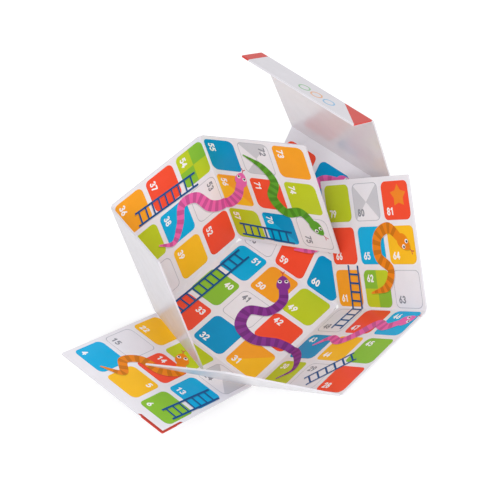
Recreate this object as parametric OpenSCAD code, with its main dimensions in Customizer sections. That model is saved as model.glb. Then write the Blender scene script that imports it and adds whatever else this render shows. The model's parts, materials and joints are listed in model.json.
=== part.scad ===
// Folding snakes and ladders board: nine hinged panels, a closing flap and a lip, half unfolded.
// The middle panel lies on the table with the centre of its underside at the origin. +X runs across
// the board and +Y up it. Every other panel is drawn flat beside it and then folded up at its crease.
// All lengths are in millimetres and all angles in degrees.

/* [Panels] */
// Width of the panels in the middle column, from crease to crease
panel_w = 125; // [110:1:140]
// Height of the middle panel, from crease to crease
panel_h = 121.4; // [110:0.2:135]
// How much narrower the side columns are than the middle one
side_trim = 2; // [0:0.5:4]
// How far the side columns' creases lie inside those of the middle column, at each end
row_inset = 1.6; // [1.4:0.1:2.4]
// How much shorter the four corner panels are than the middle one
corner_trim = 0.4; // [0:0.2:2]
// Extra height of the top panel, for its margin
top_extra = 5.6; // [2:0.2:8]
// Extra height of the bottom panel, for its margin
bottom_extra = 8.6; // [4:0.2:12]
// Extra height of the closing flap
flap_extra = 13.6; // [10:0.2:18]
// Width of the lip at the end of the flap
lip_w = 31; // [20:1:40]
// Radius of the panels' corners
corner_r = 1.5; // [0.5:0.1:2.5]

/* [Layers] */
// Thickness of the greyboard in each panel
core_t = 1.1; // [0.8:0.1:1.2]
// Thickness of the printed sheet on the playing side
print_t = 0.2; // [0.15:0.05:0.25]
// Thickness of the paper wrapped round the back and the free edges
wrap_t = 0.2; // [0.15:0.05:0.25]

/* [Creases and slits] */
// Width of the gap between two boards at a crease
crease_gap = 1.8; // [1.6:0.1:2.2]
// Diameter of the rounded crease in the hinge strip
crease_d = 1.4; // [1:0.1:1.5]
// Width of the hinge strip that is glued to the board, from its crease
strip_w = 4; // [3:0.5:5]
// Length left without a strip at each end of a crease
strip_end = 3; // [3:0.5:6]
// Width of the slits between the corner panels and the middle column
slit_gap = 2.8; // [2.6:0.1:3.4]
// Radius of the round end of each slit
slit_end_r = 2; // [1.5:0.1:2.5]

/* [Folds, counted from the flat board] */
// Left panel
fold_left = 66; // [0:1:67]
// Right panel
fold_right = 40; // [0:1:42]
// Top panel
fold_top = 56; // [0:1:57]
// Bottom panel
fold_bottom = 26; // [0:1:36]
// Top left panel, from the left panel
fold_top_left = 81; // [80:1:140]
// Bottom left panel, from the left panel
fold_bottom_left = 69; // [68:1:100]
// Top right panel, from the right panel
fold_top_right = 65; // [63:1:67]
// Bottom right panel, from the right panel
fold_bottom_right = 47; // [34:1:48]
// Flap, from the top panel
fold_flap = 55; // [0:1:57]
// Lip, from the flap
fold_lip = 40; // [0:1:150]

/* [Hidden] */
$fn = 48;
// Small overlap that makes a cut run clear through
eps = 0.1;

// Heights of the layers above the table
core_z = wrap_t;
print_z = core_z + core_t;
face_z = print_z + print_t;

// Crease lines, from the middle of the board
crease_x = panel_w / 2;
crease_y = panel_h / 2;
side_crease_y = crease_y - row_inset;
flap_y = crease_y + panel_h + top_extra;
lip_y = flap_y + panel_h + flap_extra;

// Free edges, from the middle of the board
side_x = crease_x + panel_w - side_trim;
corner_y = side_crease_y + panel_h - corner_trim;
bottom_y = crease_y + panel_h + bottom_extra;
lip_end_y = lip_y + lip_w;

// Half gaps at a crease and at a slit
gap = crease_gap / 2;
slit = slit_gap / 2;
// Edges of the middle column and of the corner panels along the slits
column_x = crease_x - slit;
corner_x = crease_x + slit;
// How far a sheet stops short of its board where a hinge strip lies
strip_inset = strip_w - gap;

// Outlines of the flat panels: [left, bottom, right, top]
center_box = [gap - crease_x, gap - crease_y, crease_x - gap, crease_y - gap];
left_box = [-side_x, gap - side_crease_y, -crease_x - gap, side_crease_y - gap];
right_box = [crease_x + gap, gap - side_crease_y, side_x, side_crease_y - gap];
top_box = [-column_x, crease_y + gap, column_x, flap_y - gap];
bottom_box = [-column_x, -bottom_y, column_x, -crease_y - gap];
top_left_box = [-side_x, side_crease_y + gap, -corner_x, corner_y];
bottom_left_box = [-side_x, -corner_y, -corner_x, -side_crease_y - gap];
top_right_box = [corner_x, side_crease_y + gap, side_x, corner_y];
bottom_right_box = [corner_x, -corner_y, side_x, -side_crease_y - gap];
flap_box = [-column_x, flap_y + gap, column_x, lip_y - gap];
lip_box = [-column_x, lip_y + gap, column_x, lip_end_y];

// Each panel: name, outline, edges that are wrapped and edges that carry a hinge strip,
// both in the order left, bottom, right, top with 1 for yes
PANELS = [
    ["center", center_box, [0, 0, 0, 0], [1, 1, 1, 1]],
    ["left", left_box, [1, 0, 0, 0], [0, 1, 0, 1]],
    ["right", right_box, [0, 0, 1, 0], [0, 1, 0, 1]],
    ["top", top_box, [1, 0, 1, 0], [0, 0, 0, 1]],
    ["bottom", bottom_box, [1, 1, 1, 0], [0, 0, 0, 0]],
    ["top_left", top_left_box, [1, 0, 1, 1], [0, 0, 0, 0]],
    ["bottom_left", bottom_left_box, [1, 1, 1, 0], [0, 0, 0, 0]],
    ["top_right", top_right_box, [1, 0, 1, 1], [0, 0, 0, 0]],
    ["bottom_right", bottom_right_box, [1, 1, 1, 0], [0, 0, 0, 0]],
    ["flap", flap_box, [1, 0, 1, 0], [0, 0, 0, 1]],
    ["lip", lip_box, [1, 0, 1, 1], [0, 0, 0, 0]]
];

// Lengths of the hinge strips
side_strip = 2 * (side_crease_y - strip_end);
column_strip = 2 * (column_x - strip_end);
corner_strip = side_x - corner_x - 2 * strip_end;
corner_mid_x = (side_x + corner_x) / 2;

// Each hinge strip: the panel that folds at it, the panel it is glued to, the middle of its crease,
// the turn about Z that points the strip into that panel, and its length
STRIPS = [
    ["left", "center", [-crease_x, 0], 0, side_strip],
    ["right", "center", [crease_x, 0], 180, side_strip],
    ["top", "center", [0, crease_y], -90, column_strip],
    ["bottom", "center", [0, -crease_y], 90, column_strip],
    ["top_left", "left", [-corner_mid_x, side_crease_y], -90, corner_strip],
    ["bottom_left", "left", [-corner_mid_x, -side_crease_y], 90, corner_strip],
    ["top_right", "right", [corner_mid_x, side_crease_y], -90, corner_strip],
    ["bottom_right", "right", [corner_mid_x, -side_crease_y], 90, corner_strip],
    ["flap", "top", [0, flap_y], -90, column_strip],
    ["lip", "flap", [0, lip_y], -90, column_strip]
];

// An outline drawn in by a different amount along each edge
function drawn_in(box, by) = [box[0] + by[0], box[1] + by[1], box[2] - by[2], box[3] - by[3]];

// Turns what it is given about a line through a point of the playing face
module fold(at, turn) {
    pivot = [at[0], at[1], face_z];
    translate(pivot) rotate(turn) translate(-pivot) children();
}

// Moves a flat panel, named as in PANELS, to its folded place
module folded(panel) {
    if (panel == "left") fold([-crease_x, 0], [0, fold_left, 0]) children();
    else if (panel == "right") fold([crease_x, 0], [0, -fold_right, 0]) children();
    else if (panel == "top") fold([0, crease_y], [fold_top, 0, 0]) children();
    else if (panel == "bottom") fold([0, -crease_y], [-fold_bottom, 0, 0]) children();
    else if (panel == "top_left")
        folded("left") fold([0, side_crease_y], [fold_top_left, 0, 0]) children();
    else if (panel == "bottom_left")
        folded("left") fold([0, -side_crease_y], [-fold_bottom_left, 0, 0]) children();
    else if (panel == "top_right")
        folded("right") fold([0, side_crease_y], [fold_top_right, 0, 0]) children();
    else if (panel == "bottom_right")
        folded("right") fold([0, -side_crease_y], [-fold_bottom_right, 0, 0]) children();
    else if (panel == "flap") folded("top") fold([0, flap_y], [fold_flap, 0, 0]) children();
    else if (panel == "lip") folded("flap") fold([0, lip_y], [fold_lip, 0, 0]) children();
    else children();
}

// The part of a square corner that lies outside its rounding
module corner_waste(r) {
    difference() {
        translate([-eps, -eps]) square(r + eps);
        translate([r, r]) circle(r);
    }
}

// Flat outline with rounded corners and the round slit ends taken out
module outline(box) {
    width = box[2] - box[0];
    height = box[3] - box[1];
    difference() {
        translate([box[0], box[1]]) square([width, height]);
        translate([box[0], box[1]]) corner_waste(corner_r);
        translate([box[2], box[1]]) rotate(90) corner_waste(corner_r);
        translate([box[2], box[3]]) rotate(180) corner_waste(corner_r);
        translate([box[0], box[3]]) rotate(270) corner_waste(corner_r);
        for (x = [-crease_x, crease_x], y = [-crease_y, crease_y])
            translate([x, y]) circle(slit_end_r);
    }
}

// Greyboard, short of the wrapped edges by the thickness of the wrap
module core(panel) {
    color("#B8B0A4")
        folded(panel[0])
        translate([0, 0, core_z])
        linear_extrude(core_t)
        outline(drawn_in(panel[1], wrap_t * panel[2]));
}

// Printed sheet on the playing side, short of the hinge strips
module print_sheet(panel) {
    color("#F4F4F8")
        folded(panel[0])
        translate([0, 0, print_z])
        linear_extrude(print_t)
        outline(drawn_in(panel[1], strip_inset * panel[3]));
}

// White paper round the back and the free edges of the greyboard
module wrap(panel) {
    color("#FBFBFD")
        folded(panel[0])
        difference() {
            linear_extrude(print_z) outline(panel[1]);
            translate([0, 0, core_z])
                linear_extrude(core_t + eps)
                outline(drawn_in(panel[1], wrap_t * panel[2]));
        }
}

// Half-round crease along Y with its round side down
module half_round(length) {
    rotate([90, 0, 0])
        linear_extrude(length, center = true)
        difference() {
            circle(d = crease_d);
            translate([-crease_d, 0]) square([2 * crease_d, crease_d]);
        }
}

// Hinge strip: a flat leaf in the plane of the print and the crease that it turns on
module crease(strip) {
    color("#ECECF2")
        folded(strip[1])
        translate([strip[2][0], strip[2][1], face_z])
        rotate(strip[3]) {
            half_round(strip[4]);
            translate([0, -strip[4] / 2, -print_t]) cube([strip_w, strip[4], print_t]);
        }
}

for (p = PANELS) {
    core(p);
    print_sheet(p);
    wrap(p);
}
for (s = STRIPS) {
    crease(s);
}
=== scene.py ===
# %% [markdown]
# # A folding snakes and ladders board
#
# The board is greyboard panels between two sheets of laminated paper: a printed sheet on the
# playing side, and a white wrap that goes round the back and the edges. Where the greyboard stops,
# the paper alone makes a crease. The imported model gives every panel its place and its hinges, so
# this lesson only dresses it: it prints the playing side, lays paper along the creases and gives
# each layer its finish.

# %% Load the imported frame
import json
import math

import bmesh
import bpy
import numpy as np
from mathutils import Matrix, Vector
from mathutils.geometry import delaunay_2d_cdt


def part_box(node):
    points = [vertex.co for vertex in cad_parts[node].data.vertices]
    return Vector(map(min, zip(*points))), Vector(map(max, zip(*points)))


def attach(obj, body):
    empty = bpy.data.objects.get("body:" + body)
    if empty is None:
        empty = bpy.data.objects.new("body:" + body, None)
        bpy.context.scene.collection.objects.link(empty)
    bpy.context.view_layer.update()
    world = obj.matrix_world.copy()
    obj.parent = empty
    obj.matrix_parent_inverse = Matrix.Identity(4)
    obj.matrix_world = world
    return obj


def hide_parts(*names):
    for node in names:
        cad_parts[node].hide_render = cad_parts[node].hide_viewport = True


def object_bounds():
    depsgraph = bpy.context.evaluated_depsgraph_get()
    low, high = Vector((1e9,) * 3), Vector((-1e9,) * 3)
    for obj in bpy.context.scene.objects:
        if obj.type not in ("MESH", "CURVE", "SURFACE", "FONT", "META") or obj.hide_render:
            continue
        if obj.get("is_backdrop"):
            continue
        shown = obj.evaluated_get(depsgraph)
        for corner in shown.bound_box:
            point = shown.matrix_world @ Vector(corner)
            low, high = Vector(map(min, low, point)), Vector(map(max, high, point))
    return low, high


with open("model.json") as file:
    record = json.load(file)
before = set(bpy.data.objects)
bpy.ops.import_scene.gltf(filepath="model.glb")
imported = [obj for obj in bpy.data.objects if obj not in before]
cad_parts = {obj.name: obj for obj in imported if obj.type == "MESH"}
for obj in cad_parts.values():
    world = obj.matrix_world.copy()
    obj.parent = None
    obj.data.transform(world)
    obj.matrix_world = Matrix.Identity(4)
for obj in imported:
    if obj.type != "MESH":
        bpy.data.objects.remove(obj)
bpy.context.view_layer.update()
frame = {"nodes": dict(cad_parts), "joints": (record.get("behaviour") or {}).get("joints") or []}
joints = {j["child"]: j for j in frame["joints"]}
print("nodes", len(frame["nodes"]), "hinges", len(joints))

# %% [markdown]
# ## The flat board
#
# Print is easiest to draw on the board laid flat, in millimetres, with z = 0 on the playing face
# and the middle of the board at x = y = 0. Each panel then needs one matrix that folds it to its
# place. It could be worked out from the fold angles, but the frame already knows them: a hinge's
# axis gives one direction of the folded panel, and the thin printed sheet gives its normal.

# %% Hinges of the flat board
MM = 0.001
PANEL_W, PANEL_H = 125.0, 121.4  # middle panel, from crease to crease
ROW_INSET = 1.6  # the side columns' creases lie this far inside the middle column's
CORNER_MID_X = 124.7  # middle of the corner panels' creases
FLAP_Y, LIP_Y = 187.7, 322.7  # creases of the flap and the lip
BOARD_T, PAPER_T = 1.5, 0.2  # whole panel, and one sheet of paper
CREASE_X, CREASE_Y = PANEL_W / 2, PANEL_H / 2
SIDE_Y = CREASE_Y - ROW_INSET
UP = np.array((0.0, 0.0, 1.0))

# Each folding panel: what it is hinged to, the middle of its crease, and the crease's direction
HINGES = {
    "left": ("center", (-CREASE_X, 0), (0, 1, 0)),
    "right": ("center", (CREASE_X, 0), (0, -1, 0)),
    "top": ("center", (0, CREASE_Y), (1, 0, 0)),
    "bottom": ("center", (0, -CREASE_Y), (-1, 0, 0)),
    "top_left": ("left", (-CORNER_MID_X, SIDE_Y), (1, 0, 0)),
    "bottom_left": ("left", (-CORNER_MID_X, -SIDE_Y), (-1, 0, 0)),
    "top_right": ("right", (CORNER_MID_X, SIDE_Y), (1, 0, 0)),
    "bottom_right": ("right", (CORNER_MID_X, -SIDE_Y), (-1, 0, 0)),
    "flap": ("top", (0, FLAP_Y), (1, 0, 0)),
    "lip": ("flap", (0, LIP_Y), (1, 0, 0)),
}
PANELS = ["center", *HINGES]
print("panels", len(PANELS))


# %% Fold a flat panel to its place
def node_points(node):
    return np.array([v.co for v in frame["nodes"][node].data.vertices], float)


def sheet_normal(panel):
    """The thin direction of the printed sheet, pointing away from the greyboard."""
    sheet, board = node_points(panel + "_print"), node_points(panel + "_core")
    thin = np.linalg.svd(sheet - sheet.mean(0), full_matrices=False)[2][2]
    return thin * np.sign(thin @ (sheet.mean(0) - board.mean(0)))


def folded_frame(panel):
    """(turn, flat pivot in mm, folded pivot in m) of a panel."""
    if panel == "center":
        return np.eye(3), np.zeros(3), np.array((0, 0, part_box("center_print")[1].z))
    axis = np.array(joints[panel]["axis"])
    normal = sheet_normal(panel)
    normal -= axis * (normal @ axis)
    normal /= np.linalg.norm(normal)
    flat = np.array(HINGES[panel][2], float)
    folded = np.column_stack((axis, normal, np.cross(axis, normal)))
    turn = folded @ np.column_stack((flat, UP, np.cross(flat, UP))).T
    return turn, np.array((*HINGES[panel][1], 0.0)), np.array(joints[panel]["pos_m"])


FOLDED = {panel: folded_frame(panel) for panel in PANELS}


def place(panel, flat):
    """Points of the flat board, in mm, moved to the folded panel, in m."""
    turn, pivot, at = FOLDED[panel]
    return (np.asarray(flat, float) - pivot) * MM @ turn.T + at


def flat_box(panel, layer):
    """(low, high) of a panel's layer on the flat board, in mm."""
    turn, pivot, at = FOLDED[panel]
    flat = (node_points(f"{panel}_{layer}") - at) @ turn / MM + pivot
    return flat.min(0), flat.max(0)


for panel in PANELS:
    low, high = flat_box(panel, "print")
    print(f"{panel}: print from {low.round(2)} to {high.round(2)}")

# %% [markdown]
# ## Inks
#
# The playing side is printed in flat, bright offset inks on white art paper. Every colour is
# written as the sRGB hex value that a designer would pick, and one function turns it to the linear
# light that Blender works in. Print is thin, so it isn't modelled in layers: each face of the
# printed sheet carries its own colour.


# %% Palette
def linear(hex_colour):
    """sRGB hex to linear red, green and blue."""
    parts = [int(hex_colour[i : i + 2], 16) / 255 for i in (1, 3, 5)]
    return np.array([c / 12.92 if c <= 0.04045 else ((c + 0.055) / 1.055) ** 2.4 for c in parts])


INK = {
    name: linear(value)
    for name, value in {
        "paper": "#EFEDF3",
        "blue": "#0098D0",
        "sky": "#0CB2E6",
        "red": "#F95236",
        "orange": "#FCA72B",
        "yellow": "#FFC327",
        "green": "#8DC43A",
        "lime": "#C3D42C",
        "grey_line": "#B9BAC4",
        "grey_tint": "#CFCFD6",
        "grey_number": "#8C8E98",
        "white": "#FBFAFC",
        "navy": "#1B5490",
        "star": "#F58A2C",
        "snake_purple": "#8E3C9A",
        "snake_pink": "#F06AB4",
        "snake_green": "#5FA82E",
        "snake_orange": "#F08A1C",
        "eye": "#23222A",
        "tongue": "#C8344A",
        "cover_red": "#D0403A",
        "edge_red": "#BE4434",
        "pale_green": "#93BE94",
        "pale_orange": "#E3AC86",
        "pale_blue": "#8FBBDC",
    }.items()
}
PAPER = INK["paper"]
SHADOW = 0.74  # what a printed shadow leaves of the ink under it
RIM = 0.86  # the same for the darker rim of a cell
BAND = 0.72  # and for the bands of a snake
print("inks", len(INK))

# %% [markdown]
# ## Shapes on the sheet
#
# The artwork is a stack of simple outlines: rounded squares, strokes and bands. A later shape
# covers an earlier one, as in any drawing program. A shape's ink is a colour, or a number that
# darkens what is under it, which is how printed shadows work. Long curved shapes are ribbons of
# short four-sided pieces, because a ribbon never crosses itself badly, however it turns.

# %% Outlines and strokes
figures, cells = [], []  # the two stacks: what prints on top, and the cells under it
CAP_STEPS, CORNER_STEPS = 6, 5  # pieces of a round end, and of a rounded corner


def add(stack, outline, ink, on=None):
    """One outline, anticlockwise. With on, it prints only where that earlier shape of the stack is."""
    stack.append((np.asarray(outline, float)[:, :2], ink, on))
    return len(stack) - 1


def arc(x, y, rx, ry, start, end, steps):
    turn = np.radians(np.linspace(start, end, steps + 1))
    return np.column_stack((x + rx * np.cos(turn), y + ry * np.sin(turn)))


def rounded(low, high, radii):
    """A box with a radius for each corner, from lower left, anticlockwise. 0 is a sharp corner."""
    corners = []
    sides = ((0, 0), (1, 0), (1, 1), (0, 1))
    for turn, (right, upper), r in zip((180, 270, 0, 90), sides, radii):
        x = high[0] - r if right else low[0] + r
        y = high[1] - r if upper else low[1] + r
        corners.append(arc(x, y, r, r, turn, turn + 90, CORNER_STEPS) if r else [(x, y)])
    return np.vstack(corners)


def ribbon(stack, path, width, ink, caps=True, shift=(0, 0)):
    """A stroke along a path. Its width may change from point to point."""
    path = np.asarray(path, float) + shift
    width = np.broadcast_to(width, len(path))
    along = np.gradient(path, axis=0)
    along /= np.linalg.norm(along, axis=1)[:, None]
    side = np.column_stack((-along[:, 1], along[:, 0])) * width[:, None] / 2
    for i, j in zip(range(len(path)), range(1, len(path))):
        # In a tight bend the four corners may cross, so they are put in order round their middle
        corners = np.array((path[i] - side[i], path[j] - side[j], path[j] + side[j], path[i] + side[i]))
        from_middle = corners - corners.mean(0)
        add(stack, corners[np.argsort(np.arctan2(from_middle[:, 1], from_middle[:, 0]))], ink)
    for end, turn in ((0, 90), (-1, -90)) if caps else ():
        angle = math.degrees(math.atan2(along[end, 1], along[end, 0])) + turn
        r = width[end] / 2
        add(stack, arc(*path[end], r, r, angle, angle + 180, CAP_STEPS), ink)


print("a rounded square has", len(rounded((0, 0), (1, 1), (0.2,) * 4)), "points")


# %% A smooth curve through points
def smooth(points, step=2.0):
    """A spline through the points, sampled about every step mm."""
    p = np.asarray(points, float)
    p = np.vstack((2 * p[0] - p[1], p, 2 * p[-1] - p[-2]))
    curve = []
    for a, b, c, d in zip(p, p[1:], p[2:], p[3:]):
        count = max(2, round(np.linalg.norm(c - b) / step))
        t = np.linspace(0, 1, count, endpoint=False)[:, None]
        curve.append(((2 * b) + (c - a) * t + (2 * a - 5 * b + 4 * c - d) * t**2
                      + (3 * b - a - 3 * c + d) * t**3) / 2)
    return np.vstack((*curve, p[-2]))


print("10 mm of curve has", len(smooth(((0, 0), (10, 0)))), "points")


# %% [markdown]
# ## Ladders and snakes
#
# Any board of this game has ladders and snakes, so these are plain ones of this lesson's own: a
# ladder is two rails and evenly spaced rungs in navy, and a snake is a tapered curve with crosswise
# bands, a round head seen from above, two dots for eyes and a forked tongue. Each casts a small
# printed shadow to the lower right. A snake runs from its head on a high number to its tail on a
# low one.

# %% Draw the ladders
RAIL, RUNG, RUNG_STEP, LADDER_W = 2.2, 1.9, 8.4, 13.0  # mm
FIRST_RUNG, TOP_CLEAR = 0.55 * RUNG_STEP, 2  # from the foot, and free of rungs at the top
SHADOW_SHIFT = (0.9, -0.9)


def ladder(foot, top):
    foot, top = np.array(foot, float), np.array(top, float)
    length = np.linalg.norm(top - foot)
    along = (top - foot) / length
    side = np.array((-along[1], along[0])) * LADDER_W / 2
    strokes = [((foot + s * side, top + s * side), RAIL) for s in (-1, 1)]
    for at in np.arange(FIRST_RUNG, length - TOP_CLEAR, RUNG_STEP):
        middle = foot + along * at
        strokes.append(((middle - side, middle + side), RUNG))
    for (a, b), width in strokes:
        ribbon(figures, (a, b), width, SHADOW, caps=False, shift=SHADOW_SHIFT)
    for (a, b), width in strokes:
        ribbon(figures, (a, b), width, "navy", caps=False)


LADDERS = [
    ((47, -168), (50, -106)), ((-50, -46), (-47.5, 50)), ((-156, -40), (-151, 38)),
    ((-78, 68), (-75, 130)), ((91, 28), (94, 100)), ((124, -48), (154, -8)), ((47, 90), (49, 142)),
    ((-174, -166), (-171, -106)), ((174, -166), (172, -108)),
]
for foot, top in LADDERS:
    ladder(foot, top)
print("ladders", len(LADDERS), "shapes", len(figures))

# %% Draw the snakes
HEAD_L, HEAD_W, BODY_W = 18.0, 13.0, 11.5  # mm
# How wide a body is along its length, as a share of BODY_W
ALONG, WIDE = (0, 0.12, 0.4, 0.8, 1), (0.74, 0.86, 1, 0.72, 0.14)
HEAD_AHEAD, TIP_AHEAD, HEAD_TAPER = 0.3, 0.48, 0.28  # shares of the head
TONGUE_L, TONGUE_STEM, TONGUE_W, FORK = 5.5, 3.2, 0.9, 1.8  # mm
EYE_R, EYE_AHEAD, EYE_ASIDE, PUPIL_R, PUPIL_AHEAD = 2.0, 2.0, 3.2, 1.15, 0.4  # mm
BAND_STEP, BAND_L = 4, 3  # points of the curve from band to band, and in one band


def whole_turn(x, y, rx, ry):
    return arc(x, y, rx, ry, 0, 345, 23)


def disc(stack, centre, radius, ink):
    add(stack, whole_turn(*centre, radius, radius), ink)


def snake(colour, points):
    curve = smooth(points)
    count = len(curve)
    share = np.linspace(0, 1, count)
    width = BODY_W * np.interp(share, ALONG, WIDE)
    ahead = (curve[0] - curve[3]) / np.linalg.norm(curve[0] - curve[3])
    across = np.array((-ahead[1], ahead[0]))
    turn = np.column_stack((ahead, across))
    # An egg that is widest behind the eyes
    oval = whole_turn(0, 0, HEAD_L / 2, 1)
    oval[:, 1] *= HEAD_W / 2 * (1 - HEAD_TAPER * oval[:, 0] / (HEAD_L / 2))
    head_at = curve[0] + ahead * HEAD_L * HEAD_AHEAD
    head = oval @ turn.T + head_at
    tip = head_at + ahead * HEAD_L * TIP_AHEAD
    ribbon(figures, curve, width, SHADOW, shift=SHADOW_SHIFT)
    add(figures, head + SHADOW_SHIFT, SHADOW)
    for fork in (-1, 1):
        reach = tip + ahead * TONGUE_L + across * fork * FORK
        ribbon(figures, (tip, tip + ahead * TONGUE_STEM, reach), TONGUE_W, "tongue")
    ribbon(figures, curve, width, colour)
    for i in range(BAND_STEP, count - BAND_STEP, BAND_STEP):
        ribbon(figures, curve[i : i + BAND_L], width[i : i + BAND_L], BAND, caps=False)
    add(figures, head, colour)
    for s in (-1, 1):
        eye = head_at + ahead * EYE_AHEAD + across * s * EYE_ASIDE
        disc(figures, eye, EYE_R, "white")
        disc(figures, eye + ahead * PUPIL_AHEAD, PUPIL_R, "eye")


SNAKES = [
    ("snake_orange", [(4, -98), (12, -112), (2, -126), (-18, -130), (-26, -146), (-14, -160),
                      (-30, -172)]),
    ("snake_purple", [(9, 43), (19, 30), (17, 12), (2, 0), (8, -18), (28, -22), (48, -10), (66, -8),
                      (82, -18), (92, -34), (82, -48)]),
    ("snake_pink", [(-134, 88), (-118, 78), (-108, 60), (-116, 42), (-134, 30), (-138, 12), (-122, 2),
                    (-110, -12), (-118, -28)]),
    ("snake_green", [(-96, 160), (-108, 150), (-106, 132), (-122, 122), (-140, 130), (-156, 122),
                     (-168, 104)]),
    ("snake_orange", [(164, 124), (150, 134), (134, 126), (132, 108), (146, 96), (138, 80), (116, 74)]),
    ("snake_pink", [(168, 42), (154, 34), (140, 38), (128, 22), (114, 10), (98, 14), (84, 2)]),
    ("snake_pink", [(8, 166), (-8, 158), (-14, 140), (-2, 124), (16, 116), (14, 96), (-4, 84)]),
    ("snake_green", [(-88, -74), (-102, -86), (-104, -104), (-122, -112), (-140, -108), (-148, -126),
                     (-134, -144)]),
    ("snake_purple", [(164, -72), (150, -82), (146, -100), (128, -108), (112, -100), (98, -116),
                      (104, -138)]),
]
for colour, points in SNAKES:
    snake(colour, points)
print("snakes", len(SNAKES), "shapes", len(figures))

# %% [markdown]
# ## Numbered cells
#
# The cells run from 1 at the lower left to 81, to and fro. Each row repeats the same five colours
# in an order of its own, and some cells have a second tint in a simple pattern. White cells have a
# thin grey line. The figures are strokes with round ends, like a stencil pen. A number stands in
# the first corner of its cell that no ladder or snake covers.

# %% Strokes of the digits
DIGIT_W = 0.6  # width of a digit that is 1 high
DIGITS = {
    "0": [arc(0.3, 0.5, 0.2, 0.4, 0, 360, 16)],
    "1": [[(0.14, 0.74), (0.34, 0.9)], [(0.34, 0.9), (0.34, 0.1)]],
    "2": [np.vstack((arc(0.29, 0.68, 0.19, 0.22, 165, -35, 9), [(0.12, 0.1)])),
          [(0.12, 0.1), (0.5, 0.1)]],
    "3": [arc(0.28, 0.7, 0.19, 0.2, 150, -85, 10), arc(0.28, 0.31, 0.21, 0.21, 85, -150, 10)],
    "4": [[(0.4, 0.9), (0.08, 0.34)], [(0.08, 0.34), (0.54, 0.34)], [(0.4, 0.9), (0.4, 0.1)]],
    "5": [[(0.48, 0.9), (0.16, 0.9)], [(0.16, 0.9), (0.13, 0.55)],
          arc(0.28, 0.36, 0.22, 0.26, 128, -140, 11)],
    "6": [[(0.42, 0.9), (0.13, 0.44)], arc(0.3, 0.33, 0.2, 0.23, 0, 360, 14)],
    "7": [[(0.08, 0.9), (0.52, 0.9)], [(0.52, 0.9), (0.22, 0.1)]],
    "8": [arc(0.3, 0.7, 0.17, 0.2, 0, 360, 14), arc(0.3, 0.3, 0.21, 0.2, 0, 360, 14)],
    "9": [arc(0.3, 0.67, 0.2, 0.23, 0, 360, 14), [(0.47, 0.56), (0.18, 0.1)]],
}
NUMBER_H, NUMBER_STROKE, NUMBER_STEP = 7.2, 1.45, 4.7  # mm
NUMBER_MARGIN = 4.2  # from the edge of the cell


def number(value, low, ink):
    for place_in_row, digit in enumerate(str(value)):
        for stroke in DIGITS[digit]:
            points = np.asarray(stroke) * NUMBER_H + low + (place_in_row * NUMBER_STEP, 0)
            ribbon(cells, points, NUMBER_STROKE, ink)


print("digits", len(DIGITS), "each", NUMBER_H, "mm high")

# %% Sizes and colours of the cells
CELL, PITCH = 34.8, 40.0  # mm
CELL_RADII = (4.5, 6.2, 4.5, 6.2)
LINE_W, RIM_W = 0.55, 0.6
TOP_PRINT_SHIFT = (-0.8, -3.2)  # the top panel's cells sit a little low on it
ROW_COLOURS = [  # one letter for each of the five colours, from the bottom row up
    "gwrbo", "wogbr", "wrbog", "rwgob", "rbogw", "brwgo", "bogwr", "obrwg", "ogwrb",
]
COLOUR_NAMES = {"b": "blue", "r": "red", "o": "orange", "g": "green", "w": "white"}
SECOND_TINT = {"orange": "yellow", "green": "lime", "blue": "sky"}
# Cells wholly in the second tint, and those with a pattern
TINTED = {4, 5, 12, 13, 16, 22, 23, 30, 35, 38, 39, 44, 46, 49, 51, 57, 64, 65, 74, 79}
CHECKED, CROSSED, SPLIT = {54, 62, 12}, {24, 72, 80, 19}, {31, 56, 70, 27}
FINISH, STAR_SHIFT, STAR_R, STAR_WAIST = 81, (4, 4), 10.5, 0.58


def cell_middle(value):
    """Middle of a numbered cell: rows run to and fro, three cells to a panel each way."""
    row, column = divmod(value - 1, 9)
    column = 8 - column if row % 2 else column
    panel_rise = PANEL_H if column // 3 == 1 else 2 * SIDE_Y
    middle = np.array(((column // 3 - 1) * PANEL_W + (column % 3 - 1) * PITCH,
                       (row // 3 - 1) * panel_rise + (row % 3 - 1) * PITCH))
    return middle + TOP_PRINT_SHIFT if row > 5 and column // 3 == 1 else middle


print("cell 1 is at", cell_middle(1), "and the last at", cell_middle(FINISH))


# %% A free corner for each number
CLEAR = 1  # mm between a number and a ladder or snake


def edge_points(outline, step=1.0):
    """Points about every step mm along an outline."""
    ends = zip(outline, np.roll(outline, -1, axis=0))
    return np.vstack([np.linspace(a, b, int(np.linalg.norm(b - a) / step) + 2) for a, b in ends])


covered = np.vstack([edge_points(outline) for outline, ink, on in figures])


def number_corner(middle, digits):
    """Lower left corner of a number, in the first corner of the cell that is free."""
    size = np.array((DIGIT_W * NUMBER_H + (digits - 1) * NUMBER_STEP, NUMBER_H))
    reach = np.array((CELL / 2 - NUMBER_MARGIN,) * 2)
    corners = ((0, 0), (0, 1), (1, 1), (1, 0))
    options = [middle + np.where(corner, reach - size, -reach) for corner in corners]
    for low in options:
        hidden = ((covered > low - CLEAR) & (covered < low + size + CLEAR)).all(1)
        if not hidden.any():
            return low
    print("no free corner for the number at", middle)
    return options[0]


print("points along ladders and snakes", len(covered))


# %% Print the cells
def star(middle, radius):
    spokes = np.radians(90 + 36 * np.arange(10))
    reach = np.where(np.arange(10) % 2, STAR_WAIST, 1.0) * radius
    return np.column_stack((np.cos(spokes), np.sin(spokes))) * reach[:, None] + middle


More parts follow.
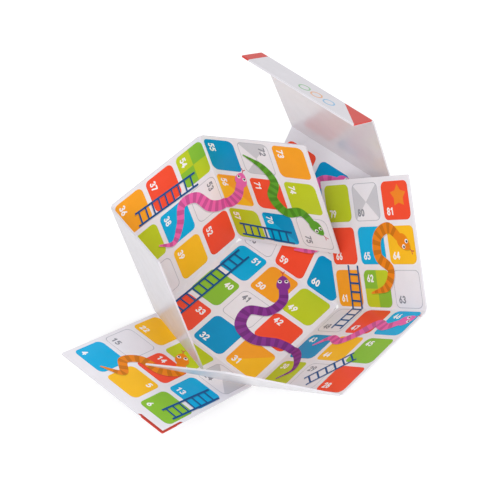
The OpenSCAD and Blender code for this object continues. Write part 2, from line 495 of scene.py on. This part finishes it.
for value in range(1, 82):
    middle, half = cell_middle(value), np.array((CELL / 2, CELL / 2))
    letters = ROW_COLOURS[(value - 1) // 9]
    ink = COLOUR_NAMES[letters[(value - 1) % 9 % 5]]
    second = SECOND_TINT.get(ink)
    if value in TINTED and second:
        ink, second = second, ink
    square = rounded(middle - half, middle + half, CELL_RADII)
    if ink == "white":
        add(cells, square, "grey_line")
        base = add(cells, rounded(middle - half + LINE_W, middle + half - LINE_W, CELL_RADII), "paper")
        second = "grey_tint"
    else:
        base = add(cells, square, ink)
        add(cells, square, RIM, base)
        add(cells, square + (-RIM_W, RIM_W), ink, base)
    quarters = [middle + half * q for q in ((-1, -1), (1, -1), (1, 1), (-1, 1))]
    if value in CHECKED:
        add(cells, (middle, middle + (half[0], 0), quarters[2], middle + (0, half[1])), second, base)
        add(cells, (middle, middle - (half[0], 0), quarters[0], middle - (0, half[1])), second, base)
    elif value in CROSSED:
        add(cells, (middle, quarters[3], quarters[0]), second, base)
        add(cells, (middle, quarters[1], quarters[2]), second, base)
    elif value in SPLIT:
        add(cells, (quarters[0], quarters[1], quarters[2]), second, base)
    elif value == FINISH:
        add(cells, star(middle + STAR_SHIFT, STAR_R), "star", base)
    number_ink = "grey_number" if ink == "white" else "white"
    number(value, number_corner(middle, len(str(value))), number_ink)
# Red cover print that comes round the bottom panel's corner, drawn past the edge that trims it
add(cells, ((32, -191), (61.5, -191), (61.5, -188.4), (34.6, -188.4)), "edge_red")
add(cells, ((61.5, -191), (61.5, -163), (59.2, -165.3), (59.2, -191)), "edge_red")
print("cell shapes", len(cells))

# %% [markdown]
# ## Cut the print into faces
#
# Layers of paint one above the other would flicker and never lie flat, so the sheet is one flat
# mesh, cut along every outline. Blender's constrained triangulation does the cutting and says which
# outlines hold each triangle, so the topmost ink is known at once. The sheet then gets its
# thickness.

# %% Cut a sheet along the printed outlines
SLIT_END_R = 2.0  # the round end of each slit
SNAP = 0.001  # mm: points nearer than this become one
slit_ends = [arc(x, y, SLIT_END_R, SLIT_END_R, 0, 348, 29)
             for x in (-CREASE_X, CREASE_X) for y in (-CREASE_Y, CREASE_Y)]
artwork = cells + figures  # ladders and snakes print over the cells
print("outlines to cut along", len(artwork))


def cut_sheet(edge):
    """(flat points, triangles, colour of each triangle) of the print inside an edge."""
    low, high = edge.min(0), edge.max(0)
    outlines, printed = [edge, *slit_ends], []
    first = len(outlines)
    kept = {}
    for index, (outline, ink, on) in enumerate(artwork):
        if (outline.max(0) > low).all() and (outline.min(0) < high).all():
            kept[index] = len(outlines)
            outlines.append(outline)
            printed.append((ink, kept.get(on)))
    points, faces = [], []
    for outline in outlines:
        faces.append(list(range(len(points), len(points) + len(outline))))
        points += [Vector(p) for p in outline]
    flat, _, made, _, _, origin = delaunay_2d_cdt(points, [], faces, 0, SNAP)
    triangles, colours = [], []
    for face, inside in zip(made, origin):
        inside = set(inside)
        if 0 not in inside or any(i in inside for i in range(1, first)):
            continue
        colour = PAPER
        for i in sorted(inside)[1:]:
            ink, on = printed[i - first]
            if on is None or on in inside:
                colour = colour * ink if isinstance(ink, float) else INK[ink]
        triangles.append(face)
        colours.append(colour)
    return np.array(flat), triangles, colours


def thick_sheet(flat, triangles, colours):
    """(points with z, faces, colours): the cut sheet as a closed solid one paper thick."""
    count = len(flat)
    points = np.vstack((np.column_stack((flat, np.zeros(count))),
                        np.column_stack((flat, np.full(count, -PAPER_T)))))
    faces = [list(t) for t in triangles] + [[i + count for i in reversed(t)] for t in triangles]
    sides = {(a, b): ink for t, ink in zip(triangles, colours) for a, b in zip(t, (*t[1:], t[0]))}
    walls = [(a, b) for a, b in sorted(sides) if (b, a) not in sides]
    faces += [[b, a, a + count, b + count] for a, b in walls]
    return points, faces, colours + [PAPER] * len(triangles) + [sides[wall] for wall in walls]


# %% Turn points and faces into a piece with its inks
def piece(name, points, faces, colours, materials, slots=()):
    mesh = bpy.data.meshes.new(name)
    mesh.from_pydata([Vector(p) for p in points], [], faces)
    ink = mesh.attributes.new("ink", "FLOAT_COLOR", "FACE")
    opaque = np.column_stack((colours, np.ones(len(faces))))
    ink.data.foreach_set("color", opaque.astype(np.float32).ravel())
    for material in materials:
        mesh.materials.append(material)
    if len(slots):
        mesh.polygons.foreach_set("material_index", slots)
    bm = bmesh.new()
    bm.from_mesh(mesh)
    bmesh.ops.delete(bm, geom=[v for v in bm.verts if not v.link_faces], context="VERTS")
    bmesh.ops.dissolve_degenerate(bm, dist=SNAP * MM, edges=bm.edges)  # slivers of the cutting
    bmesh.ops.recalc_face_normals(bm, faces=bm.faces)
    bm.to_mesh(mesh)
    bm.free()
    made = bpy.data.objects.new(name, mesh)
    bpy.context.scene.collection.objects.link(made)
    print(name, "faces", len(mesh.polygons))
    return made


# %% [markdown]
# ## Finishes
#
# Everything here is paper or board. The art paper is offset printed and then gloss laminated: a
# clear plastic film gives it a sharp highlight over a soft body colour, and the film is never quite
# flat. The wrap and the liner are the same paper without print, and the greyboard is matt, with
# flecks of fibre.


# %% One function that adds a node
def node(tree, kind, settings=None, **inputs):
    """A node with its settings, and for each input a value or the socket that feeds it.
    An input is given by its name, or as _0, _1 and so on by its place."""
    made = tree.nodes.new(kind)
    for name, value in (settings or {}).items():
        setattr(made, name, value)
    for name, value in inputs.items():
        by_number = name[1:].isdigit()
        socket = made.inputs[int(name[1:]) if by_number else name.replace("_", " ")]
        if isinstance(value, bpy.types.NodeSocket):
            tree.links.new(value, socket)
        else:
            socket.default_value = value
    return made


def new_material(name):
    material = bpy.data.materials.new(name)
    material.use_nodes = True
    tree = material.node_tree
    return material, tree, tree.nodes["Principled BSDF"]


def per_mm(size):
    """Scale of a pattern whose features are this many mm wide."""
    return 1 / (size * MM)


print("a pattern 2 mm wide has the scale", per_mm(2))

# %% Gloss laminated paper
MOTTLE, FILM_WAVE = 16.0, 12.0  # mm
TOOTH, TOOTH_SHARE = 2.2, 0.35  # mm. The tooth of real paper is finer, and too fine to show
MOTTLE_SPAN, WAVE_SPAN = (0.35, 1.0), (0.2, 0.8)  # lowest and highest that the noises reach
TONE = (0.96, 1.02)  # what the mottle leaves of the colour, at its darkest and lightest
GLOSS = (0.2, 0.25)  # roughness of the film, from place to place
WAVE_STRENGTH, WAVE_DEPTH = 0.03, 0.0006  # the second in metres
FILM_IOR, COAT_ROUGHNESS = 1.5, 0.12


def laminated(name, colour, shine, red_edges=()):
    """Paper under gloss film: body colour with a slight mottle, a film that waves a little and a
    clear coat. colour is a hex value, or None for the inks of the faces. Each red edge is
    (direction, limit): the paper is printed red where a point's reach in that direction, in metres,
    is past the limit."""
    material, tree, shader = new_material(name)
    place_in = node(tree, "ShaderNodeTexCoord").outputs["Object"]
    if colour is None:
        body = node(tree, "ShaderNodeAttribute", {"attribute_name": "ink"}).outputs["Color"]
    else:
        body = (*linear(colour), 1)
    for direction, limit in red_edges:
        reach = node(tree, "ShaderNodeVectorMath", {"operation": "DOT_PRODUCT"},
                     _0=place_in, _1=direction)
        past = node(tree, "ShaderNodeMath", {"operation": "GREATER_THAN"},
                    _0=reach.outputs["Value"], _1=limit)
        body = node(tree, "ShaderNodeMix", {"data_type": "RGBA"}, _0=past.outputs[0], _6=body,
                    _7=(*INK["cover_red"], 1)).outputs[2]
    mottle = node(tree, "ShaderNodeTexNoise", Vector=place_in, Scale=per_mm(MOTTLE), Detail=3.0)
    tooth = node(tree, "ShaderNodeTexNoise", Vector=place_in, Scale=per_mm(TOOTH), Detail=2.0)
    both = node(tree, "ShaderNodeMath", {"operation": "MULTIPLY_ADD"},
                _0=tooth.outputs["Fac"], _1=TOOTH_SHARE, _2=mottle.outputs["Fac"])
    value = node(tree, "ShaderNodeMapRange", Value=both.outputs[0], From_Min=MOTTLE_SPAN[0],
                 From_Max=MOTTLE_SPAN[1], To_Min=TONE[0], To_Max=TONE[1])
    toned = node(tree, "ShaderNodeHueSaturation", Color=body, Value=value.outputs[0])
    tree.links.new(toned.outputs[0], shader.inputs["Base Color"])
    wave = node(tree, "ShaderNodeTexNoise", Vector=place_in, Scale=per_mm(FILM_WAVE), Detail=0.0)
    gloss = node(tree, "ShaderNodeMapRange", Value=wave.outputs["Fac"], From_Min=WAVE_SPAN[0],
                 From_Max=WAVE_SPAN[1], To_Min=GLOSS[0], To_Max=GLOSS[1])
    tree.links.new(gloss.outputs[0], shader.inputs["Roughness"])
    bump = node(tree, "ShaderNodeBump", Height=wave.outputs["Fac"], Strength=WAVE_STRENGTH,
                Distance=WAVE_DEPTH)
    tree.links.new(bump.outputs[0], shader.inputs["Normal"])
    shader.inputs["IOR"].default_value = FILM_IOR
    shader.inputs["Specular IOR Level"].default_value = shine
    shader.inputs["Coat Weight"].default_value = shine
    shader.inputs["Coat Roughness"].default_value = COAT_ROUGHNESS
    return material


# Offset print under gloss film: flat, even colour with a soft sheen over it
PRINT_SHINE = 0.1
play_print = laminated("laminated_art_paper_offset_print", None, PRINT_SHINE)
# The same paper without print, on the back: a calm, cool white with little sheen
WRAP_WHITE, WRAP_SHINE = "#DBD8DE", 0.08
wrap_paper = laminated("laminated_art_paper_white_wrap", WRAP_WHITE, WRAP_SHINE)
# The liner's film is the glossiest, so it faintly mirrors the colours of the cells before it
LINER_WHITE, LINER_SHINE = "#EFEBF0", 0.3
liner_paper = laminated("laminated_art_paper_liner", LINER_WHITE, LINER_SHINE)
print("laminated papers", play_print.name, wrap_paper.name, liner_paper.name)

# %% [markdown]
# Greyboard is waste paper, pulped and pressed. It has no film, so it looks matt and warm grey, with
# darker flecks of fibre. A noise through a colour ramp gives the flecks, and the same noise gives a
# faint tooth.

# %% Greyboard
FLECK = 0.9  # mm. Real fibres are finer, and too fine to show
FLECK_DARK, FLECK_LIGHT, FLECK_RANGE = "#8F877B", "#C4BCAF", (0.34, 0.66)
FLECK_STRENGTH, FLECK_DEPTH, BOARD_ROUGHNESS = 0.4, 0.0002, 0.92  # the depth in metres
greyboard, tree, shader = new_material("greyboard_pressed_pulp")
place_in = node(tree, "ShaderNodeTexCoord").outputs["Object"]
fleck = node(tree, "ShaderNodeTexNoise", Vector=place_in, Scale=per_mm(FLECK), Detail=4.0,
             Roughness=0.7)
ramp = node(tree, "ShaderNodeValToRGB", Fac=fleck.outputs["Fac"])
for stop, at, colour in zip(ramp.color_ramp.elements, FLECK_RANGE, (FLECK_DARK, FLECK_LIGHT)):
    stop.position, stop.color = at, (*linear(colour), 1)
tree.links.new(ramp.outputs[0], shader.inputs["Base Color"])
bump = node(tree, "ShaderNodeBump", Height=fleck.outputs["Fac"], Strength=FLECK_STRENGTH,
            Distance=FLECK_DEPTH)
tree.links.new(bump.outputs[0], shader.inputs["Normal"])
shader.inputs["Roughness"].default_value = BOARD_ROUGHNESS
print("board", greyboard.name)

# %% [markdown]
# ## Creases and sheets
#
# At a crease the greyboard stops and paper alone runs on, glued to the back paper. The crease turns
# about a line in the playing face, so paper cut exactly at that line neither gapes nor overlaps at
# any angle: the parent panel's strip comes up to the line from one side and the folding panel's
# sheet from the other. A round bead of paper under the line closes the back, and thin turned-in
# paper hides the boards' edges.

# %% Places beside a crease
STRIP_W, GAP = 4.0, 0.9  # mm: the strip on the parent panel, and half the gap between the boards
BEAD_R, TURN_IN = 0.7, 0.15
NEAR = 0.01  # mm: what is closer counts as one place
BAR_INSET = 1  # how far the bead and the turned-in paper stop short of the crease's ends
SEAM = 0.02  # clear space at the fold line, too thin to see, so that nothing rubs on a flat board


def crease_axes(child):
    """Middle of the crease, its direction, and the direction across it to the folding panel."""
    along = np.array(HINGES[child][2], float)
    return np.array((*HINGES[child][1], 0.0)), along, np.cross(UP, along)


def beside(child, usz):
    """Points along, past and above a crease, as points of the flat board."""
    return np.asarray(usz, float) @ np.vstack((*crease_axes(child)[1:], UP)) + crease_axes(child)[0]


def reach_along(child, panel, layer):
    """How far a panel's layer reaches along a crease, each way from the crease's middle."""
    middle, along, _ = crease_axes(child)
    return sorted(float((corner - middle) @ along) for corner in flat_box(panel, layer))


def bar(profile, ends):
    """(points, faces) of a bar along a crease, from its outline in the s, z plane."""
    n = len(profile)
    faces = [[i, (i + 1) % n, (i + 1) % n + n, i + n] for i in range(n)]
    faces += [list(range(n)), list(range(n, 2 * n))]
    return [(u, *p) for u in ends for p in profile], faces


def turned_in(side):
    """Outline of the paper over a board's edge at a crease: side is -1 on the parent panel and 1 on
    the folding one."""
    low, high, near = TURN_IN - BOARD_T, -PAPER_T, GAP - TURN_IN
    return [(side * s, z) for s, z in ((near, low), (GAP, low), (GAP, high), (near, high))]


for child in HINGES:
    print(child, "crease reaches", [round(u, 1) for u in reach_along(child, child, "print")])


# %% Make a sheet with the bars under it
def paper_piece(name, panel, edge, bars, finish):
    """A printed sheet inside an edge, with bars of bare paper, all on one folded panel."""
    points, faces, colours = thick_sheet(*cut_sheet(edge))
    printed = len(faces)
    for more, more_faces in bars:
        faces += [[i + len(points) for i in face] for face in more_faces]
        points = np.vstack((points, more))
    colours += [PAPER] * (len(faces) - printed)
    made = piece(name, place(panel, points), faces, colours, [finish, wrap_paper],
                 [0] * printed + [1] * (len(faces) - printed))
    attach(made, panel)
    return made


# %% [markdown]
# Each panel gets one sheet in the place of its plain one: printed on the nine playing panels, bare
# on the flap and the lip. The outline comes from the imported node, so the sheet fits whatever the
# frame says. It is round at free corners only, because at a crease the paper runs on.

# %% Make the panels' sheets
CORNER_R = 1.5
UPPER_FREE, LOWER_FREE = (0, 0, CORNER_R, CORNER_R), (CORNER_R, CORNER_R, 0, 0)
FREE_CORNERS = {"top_left": UPPER_FREE, "top_right": UPPER_FREE, "lip": UPPER_FREE,
                "bottom": LOWER_FREE, "bottom_left": LOWER_FREE, "bottom_right": LOWER_FREE}
for panel in PANELS:
    low, high = flat_box(panel, "print")
    bars = []
    if panel in HINGES:
        across = crease_axes(panel)[2]
        low, high = low - GAP * across.clip(0, 1), high - GAP * across.clip(-1, 0)
        ends = reach_along(panel, panel, "print")
        shape, faces = bar(turned_in(1), (ends[0] + BAR_INSET, ends[1] - BAR_INSET))
        bars = [(beside(panel, shape), faces)]
    plain = panel in ("flap", "lip")
    sheet = paper_piece(panel + ("_liner_sheet" if plain else "_printed_sheet"), panel,
                        rounded(low, high, FREE_CORNERS.get(panel, (0, 0, 0, 0))), bars,
                        liner_paper if plain else play_print)
    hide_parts(panel + "_print")

# %% Make the crease strips
bead = arc(0, 0, BEAD_R, BEAD_R, 199, 341, 8)  # its flat top stays under the sheets
for child, (parent, _, direction) in HINGES.items():
    # The strips at the sides of the middle panel run its whole height, the others as far as the print
    leaf = reach_along(child, parent, "core" if direction[1] else "print")
    gap = reach_along(child, child, "print")
    edge = [(leaf[0], -STRIP_W), (leaf[1], -STRIP_W), (leaf[1], -GAP), (gap[1], -GAP),
            (gap[1], -SEAM), (gap[0], -SEAM), (gap[0], -GAP), (leaf[0], -GAP)]
    edge = [(*p, 0) for p, q in zip(edge, edge[1:] + edge[:1]) if math.dist(p, q) > NEAR]
    ends = gap[0] + BAR_INSET, gap[1] - BAR_INSET
    bars = [bar(profile, ends) for profile in (bead, turned_in(-1))]
    strip = paper_piece(child + "_crease_strip", parent, beside(child, edge)[:, :2],
                        [(beside(child, shape), faces) for shape, faces in bars], play_print)
    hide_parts(child + "_crease")

# %% [markdown]
# ## Wraps and boards
#
# The wrap is one sheet glued to the back and folded up over the edges, so the edges are softly
# rounded and not sharp like a cut board's. It could be a box with a bevel, but a shallow tray of
# the paper's own thickness is truer: rings of points run from its inner floor, up the wall and
# round the outer edge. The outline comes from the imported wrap. The round slit ends were punched
# through last, so raw board shows there.

# %% Outline of a wrap
EDGE_R = 0.4  # mm, where the paper goes round the board's edge


def back_outline(panel):
    """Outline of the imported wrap's back on the flat board, anticlockwise, in mm."""
    turn, pivot, at = FOLDED[panel]
    flat = ((node_points(panel + "_wrap") - at) @ turn / MM + pivot).round(4)
    sides = set()
    for face in frame["nodes"][panel + "_wrap"].data.polygons:
        corners = [tuple(flat[v]) for v in face.vertices]
        if max(z for _, _, z in corners) < NEAR - BOARD_T:
            sides |= set(zip(corners, corners[1:] + corners[:1]))
    following = {a: b for a, b in sides if (b, a) not in sides}
    loop = [min(following)]
    while following[loop[-1]] != loop[0]:
        loop.append(following[loop[-1]])
    return np.array(loop)[::-1, :2]


def drawn_in(outline, by):
    """An anticlockwise outline moved inwards."""
    sides = [outline - np.roll(outline, 1, axis=0), np.roll(outline, -1, axis=0) - outline]
    first, second = (np.column_stack((-e[:, 1], e[:, 0])) / np.linalg.norm(e, axis=1)[:, None]
                     for e in sides)
    return outline + by * (first + second) / (1 + (first * second).sum(1))[:, None]


print("the middle panel's wrap has", len(back_outline("center")), "outline points")


# %% [markdown]
# Cover print shows where it comes round an edge: a red corner on the bottom panel, and a red band
# and corner on the outside of the lip. Each is a straight cut across a panel, so it takes one
# direction and one limit in the material.


# %% Red corners of the cover print
def red_edge(panel, first, second):
    """Direction and limit of the cut through two flat points, red on the right of first to second."""
    a, b = (place(panel, (*p, 0)) for p in (first, second))
    out = np.cross(b - a, FOLDED[panel][0] @ UP)
    out /= np.linalg.norm(out)
    return tuple(out), float(out @ a)


BOTTOM_EDGE, COLUMN_EDGE = -190.7, 61.1
CORNER_ACROSS, CORNER_UP = 25, 20  # mm of the bottom panel's red corner
LIP_CORNER_X, LIP_BAND_X = 30, 8 - COLUMN_EDGE
lip_end = flat_box("lip", "wrap")[1][1]
red_edges = {
    "bottom": [red_edge("bottom", (COLUMN_EDGE - CORNER_ACROSS, BOTTOM_EDGE),
                        (COLUMN_EDGE, BOTTOM_EDGE + CORNER_UP))],
    "lip": [red_edge("lip", (LIP_BAND_X, lip_end), (LIP_BAND_X, LIP_Y)),
            red_edge("lip", (LIP_CORNER_X, LIP_Y), (COLUMN_EDGE, lip_end))],
}
print("wraps with red corners", sorted(red_edges))

# %% Make the wraps and finish the boards
SLACK = 0.05  # mm allowed in telling the punched points
turns = np.radians((0, 30, 60, 90))
rings = [(PAPER_T, PAPER_T - BOARD_T), (PAPER_T, -PAPER_T), (0, -PAPER_T)]  # how far in, and how high
rings += [(EDGE_R * (1 - math.cos(t)), EDGE_R * (1 - math.sin(t)) - BOARD_T) for t in turns]
slit_centres = np.array([outline.mean(0) for outline in slit_ends])
for panel in PANELS:
    outline = back_outline(panel)
    n = len(outline)
    points = np.vstack([np.column_stack((drawn_in(outline, by), np.full(n, z))) for by, z in rings])
    faces = [[k * n + i, k * n + (i + 1) % n, (k + 1) * n + (i + 1) % n, (k + 1) * n + i]
             for k in range(len(rings) - 1) for i in range(n)]
    faces += [list(range(n)), list(range(len(points) - n, len(points)))]
    reach = np.linalg.norm(outline[:, None] - slit_centres, axis=2).min(1)
    punched = [int(max(reach[i], reach[(i + 1) % n]) < SLIT_END_R + SLACK) for i in range(n)]
    finish = wrap_paper
    if panel in red_edges:
        finish = laminated(f"laminated_art_paper_{panel}_wrap", WRAP_WHITE, WRAP_SHINE,
                           red_edges[panel])
    wrap = piece(panel + "_paper_wrap", place(panel, points), faces, [PAPER] * len(faces),
                 [finish, greyboard], punched * (len(rings) - 1) + [0, 0])
    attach(wrap, panel)
    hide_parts(panel + "_wrap")
    board = frame["nodes"][panel + "_core"]
    board.data.materials.clear()
    board.data.materials.append(greyboard)
    print(panel, "points of raw board at slit ends", sum(punched))

# %% [markdown]
# ## Rings on the lip
#
# Three pale rings are printed in a row on the outside of the lip. They could be drawn in the wrap's
# material, but thin raised rings stay sharp at any distance and need no texture.

# %% Make the rings
RING_R, RING_LINE, INK_T = 4.9, 1.4, 0.05  # mm
RING_Y = (LIP_Y + lip_end) / 2 + 3
RING_PLACES = (("pale_green", -0.3), ("pale_orange", 12.7), ("pale_blue", 26.0))
RING_STEPS = 40
for ink, x in RING_PLACES:
    outer, inner = RING_R + RING_LINE / 2, RING_R - RING_LINE / 2
    back, top = -BOARD_T, -BOARD_T - INK_T
    profile = [(outer, back), (outer, top), (inner, top), (inner, back)]
    turns = np.radians(np.arange(RING_STEPS) * 360 / RING_STEPS)
    points = [(x + r * math.cos(t), RING_Y + r * math.sin(t), z) for t in turns for r, z in profile]
    count = len(points)
    pairs = [(4 * i + k, 4 * i + (k + 1) % 4) for i in range(RING_STEPS) for k in range(4)]
    faces = [[a, b, (b + 4) % count, (a + 4) % count] for a, b in pairs]
    ring = piece(f"lip_ring_{ink}", place("lip", points), faces, [INK[ink]] * len(faces),
                 [play_print])
    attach(ring, "lip")

# %% [markdown]
# ## Camera
#
# The photograph looks down on the board at about fifty degrees with a long lens, so the panels
# hardly taper. The camera could be aimed at a target, but its own two directions and its place,
# found by fitting the panels' corners, are surer. A small shift centres the picture as in the
# photograph.

# %% Camera
LENS_PX, FRAME_PX, SENSOR = 1407.5, 500.0, 36.0  # the last in mm
SHIFT = (0.0433, 0.0499)
AHEAD, ACROSS = Vector((-0.41108, 0.46429, -0.78451)), Vector((0.7447, 0.6674, 0.0047))
STANDS_AT = (0.51882, -0.61271, 1.06933)
camera = bpy.data.objects.new("camera", bpy.data.cameras.new("camera"))
bpy.context.scene.collection.objects.link(camera)
bpy.context.scene.camera = camera
camera.data.sensor_width = SENSOR
camera.data.lens = SENSOR * LENS_PX / FRAME_PX
camera.data.shift_x, camera.data.shift_y = SHIFT
ahead = AHEAD.normalized()
across = (ACROSS - ahead * ACROSS.dot(ahead)).normalized()
turn = Matrix((across, across.cross(ahead), -ahead)).transposed()
camera.matrix_world = Matrix.Translation(STANDS_AT) @ turn.to_4x4()
print("lens", round(camera.data.lens, 1), "mm")

# %% [markdown]
# ## Light and floor
#
# The light is a soft tent: an even pale sky, one large lamp above the camera and a weaker one from
# the right. A white background could come from more light, but that would wash out the print. Here
# the sky and the floor only look whiter to the camera than they shine, and the floor still takes
# the shadow.

# %% Light
world = bpy.data.worlds.new("pale_tent")
bpy.context.scene.world = world
world.use_nodes = True
sky = world.node_tree.nodes["Background"]
sky.inputs["Color"].default_value = (1, 1, 1, 1)
TENT, WHITE = 0.85, 1.0  # strength of the tent as a light, and as it looks
AIM = Vector((0, 0, 0.1))  # what the lamps point at


def looked_at(tree):
    """1 for a ray from the camera, also by way of a reflection or through something clear, and 0
    for light."""
    rays = node(tree, "ShaderNodeLightPath").outputs
    seen = rays["Is Camera Ray"]
    for other in ("Is Glossy Ray", "Is Transmission Ray"):
        either = node(tree, "ShaderNodeMath", {"operation": "MAXIMUM"}, _0=seen, _1=rays[other])
        seen = either.outputs[0]
    return seen


strength = node(world.node_tree, "ShaderNodeMapRange", Value=looked_at(world.node_tree),
                To_Min=TENT, To_Max=WHITE)
world.node_tree.links.new(strength.outputs[0], sky.inputs["Strength"])


def soft_lamp(name, at, size, power):
    lamp = bpy.data.objects.new(name, bpy.data.lights.new(name, "AREA"))
    lamp.data.size, lamp.data.energy = size, power
    lamp.location = at
    lamp.rotation_euler = (AIM - Vector(at)).to_track_quat("-Z", "Y").to_euler()
    bpy.context.scene.collection.objects.link(lamp)


soft_lamp("above_camera", (0.76, -1.14, 1.41), 1.0, 11)
soft_lamp("right", (1.6, 0.1, 0.9), 0.9, 4.4)
print("tent", TENT, "as a light and", WHITE, "to the eye")

# %% Floor
FLOOR, FLOOR_DROP = 9.0, 0.0002  # metres: its width, and how far it lies under the board
FLOOR_TONE, FLOOR_ROUGHNESS = 0.74, 0.9  # a matt painted table: no reflection, only a soft shadow
LIFT = 0.37  # how much whiter it looks than it shines
bpy.ops.mesh.primitive_plane_add(size=FLOOR, location=(0, 0, -FLOOR_DROP))
floor = bpy.context.object
floor.name = "floor"
floor_finish, tree, shader = new_material("painted_table_matt_white")
shader.inputs["Base Color"].default_value = (FLOOR_TONE, FLOOR_TONE, FLOOR_TONE, 1)
shader.inputs["Roughness"].default_value = FLOOR_ROUGHNESS
lift = node(tree, "ShaderNodeMath", {"operation": "MULTIPLY"}, _0=looked_at(tree), _1=LIFT)
shader.inputs["Emission Color"].default_value = (1, 1, 1, 1)
tree.links.new(lift.outputs[0], shader.inputs["Emission Strength"])
floor.data.materials.append(floor_finish)
floor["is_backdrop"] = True
bpy.context.scene.view_settings.view_transform = "Standard"
print("floor", FLOOR, "m wide, lifted by", LIFT)

# %% Print the size of what is drawn
low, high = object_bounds()
print("visual box", [round(v, 4) for v in (*low, *high)])
